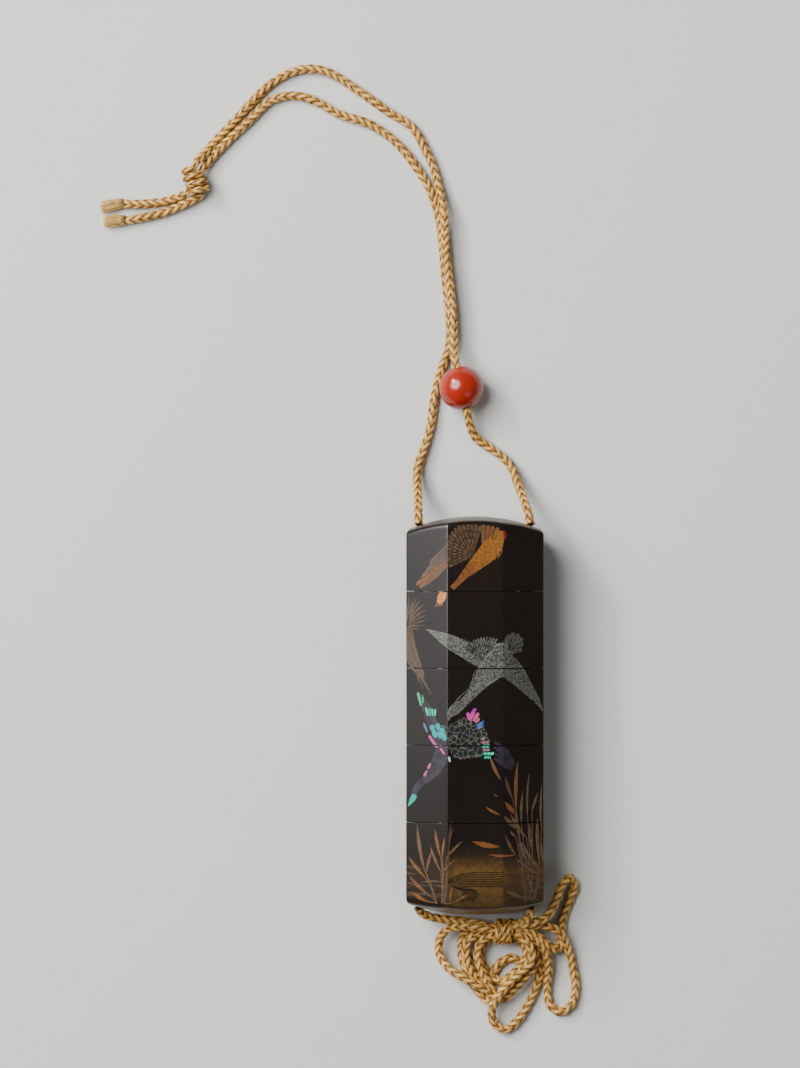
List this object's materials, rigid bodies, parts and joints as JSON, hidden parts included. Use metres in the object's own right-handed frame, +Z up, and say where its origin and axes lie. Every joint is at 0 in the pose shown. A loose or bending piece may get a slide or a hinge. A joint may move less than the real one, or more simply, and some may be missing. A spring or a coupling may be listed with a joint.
{
  "type": "inro case",
  "caption": "Small lacquered carrying case of stacked hollow sections under a lid, lying on its back, with silk cord, sliding bead and bow.",
  "frame": {"origin": "on the surface under the middle of the case, which lies on its flat back facet", "axes": "+Z up through the case's depth, +Y along the case towards its lid, +X to the right seen from above with the lid at the far end"},
  "size_m": [0.1195, 0.2412, 0.022],
  "materials": {
    "lacquer": "gloss",
    "coral": "gloss",
    "silk": "satin",
    "gold_leaf": "satin",
    "silver_leaf": "satin",
    "shell": "gloss"
  },
  "bodies": {
    "root": {"lid": "lacquer", "case_1": "lacquer", "case_2": "lacquer", "case_3": "lacquer", "case_4": "lacquer", "ojime_bead": "coral", "cord_left_strand": "silk", "cord_right_strand": "silk", "cord_end_knot": "silk", "cord_tail_upper": "silk", "cord_tail_lower": "silk", "channel_cord_left": "silk", "channel_cord_right": "silk", "cord_bow": "silk"}
  },
  "joints": []
}
